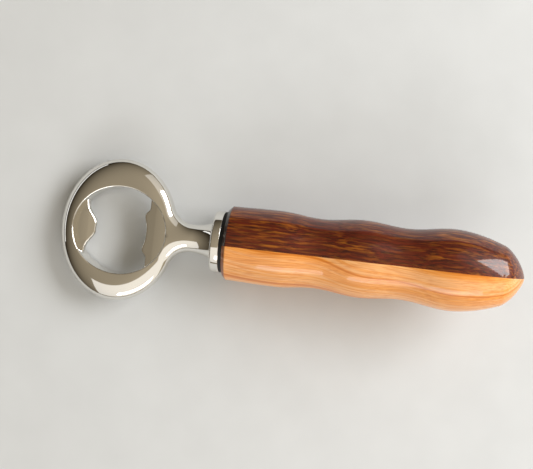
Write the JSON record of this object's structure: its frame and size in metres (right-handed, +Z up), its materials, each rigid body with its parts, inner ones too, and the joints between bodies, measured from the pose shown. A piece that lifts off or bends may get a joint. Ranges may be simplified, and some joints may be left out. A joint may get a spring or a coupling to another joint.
{
  "type": "bottle opener",
  "caption": "Ring bottle opener with two lips, round neck and flange, screwed into a turned finger-grip handle of dark and light wood.",
  "frame": {"origin": "on the table, under the middle of the opener's box as it lies at rest", "axes": "+Z up from the table; +X along the opener, from the ring towards the tip of the handle; +Y across it, towards the dark wood"},
  "size_m": [0.1496, 0.0466, 0.0354],
  "materials": {
    "polished_chrome": "mirror-polished chrome plate on a zinc casting",
    "zinc_plated_steel": "bright zinc plate on a rolled thread",
    "black_fibre": "matt black vulcanised fibre",
    "brass": "turned and knurled brass",
    "dark_wood": "turned dark red-brown hardwood under gloss lacquer",
    "light_wood": "turned orange-tan hardwood under gloss lacquer"
  },
  "bodies": {
    "handle": {"handle_dark_half": "dark_wood", "handle_light_half": "light_wood", "threaded_insert": "brass"},
    "washer": {"flange_washer": "black_fibre"},
    "head": {"opener_head": "polished_chrome", "threaded_stud": "zinc_plated_steel"}
  },
  "joints": [
    {"name": "head_travel", "type": "slide", "parent": "handle", "child": "washer", "axis": [-0.9899, 0, -0.142], "range_m": [0, 0.0155]},
    {"name": "head_turn", "type": "hinge", "parent": "washer", "child": "head", "pos_m": [-0.01991, 0, 0.01182], "axis": [-0.9899, 0, -0.142], "range_deg": [0, 3490]}
  ],
  "couplings": [
    {"joint": "head_travel", "follows": "head_turn", "m_per_rad": 0.00025266}
  ]
}
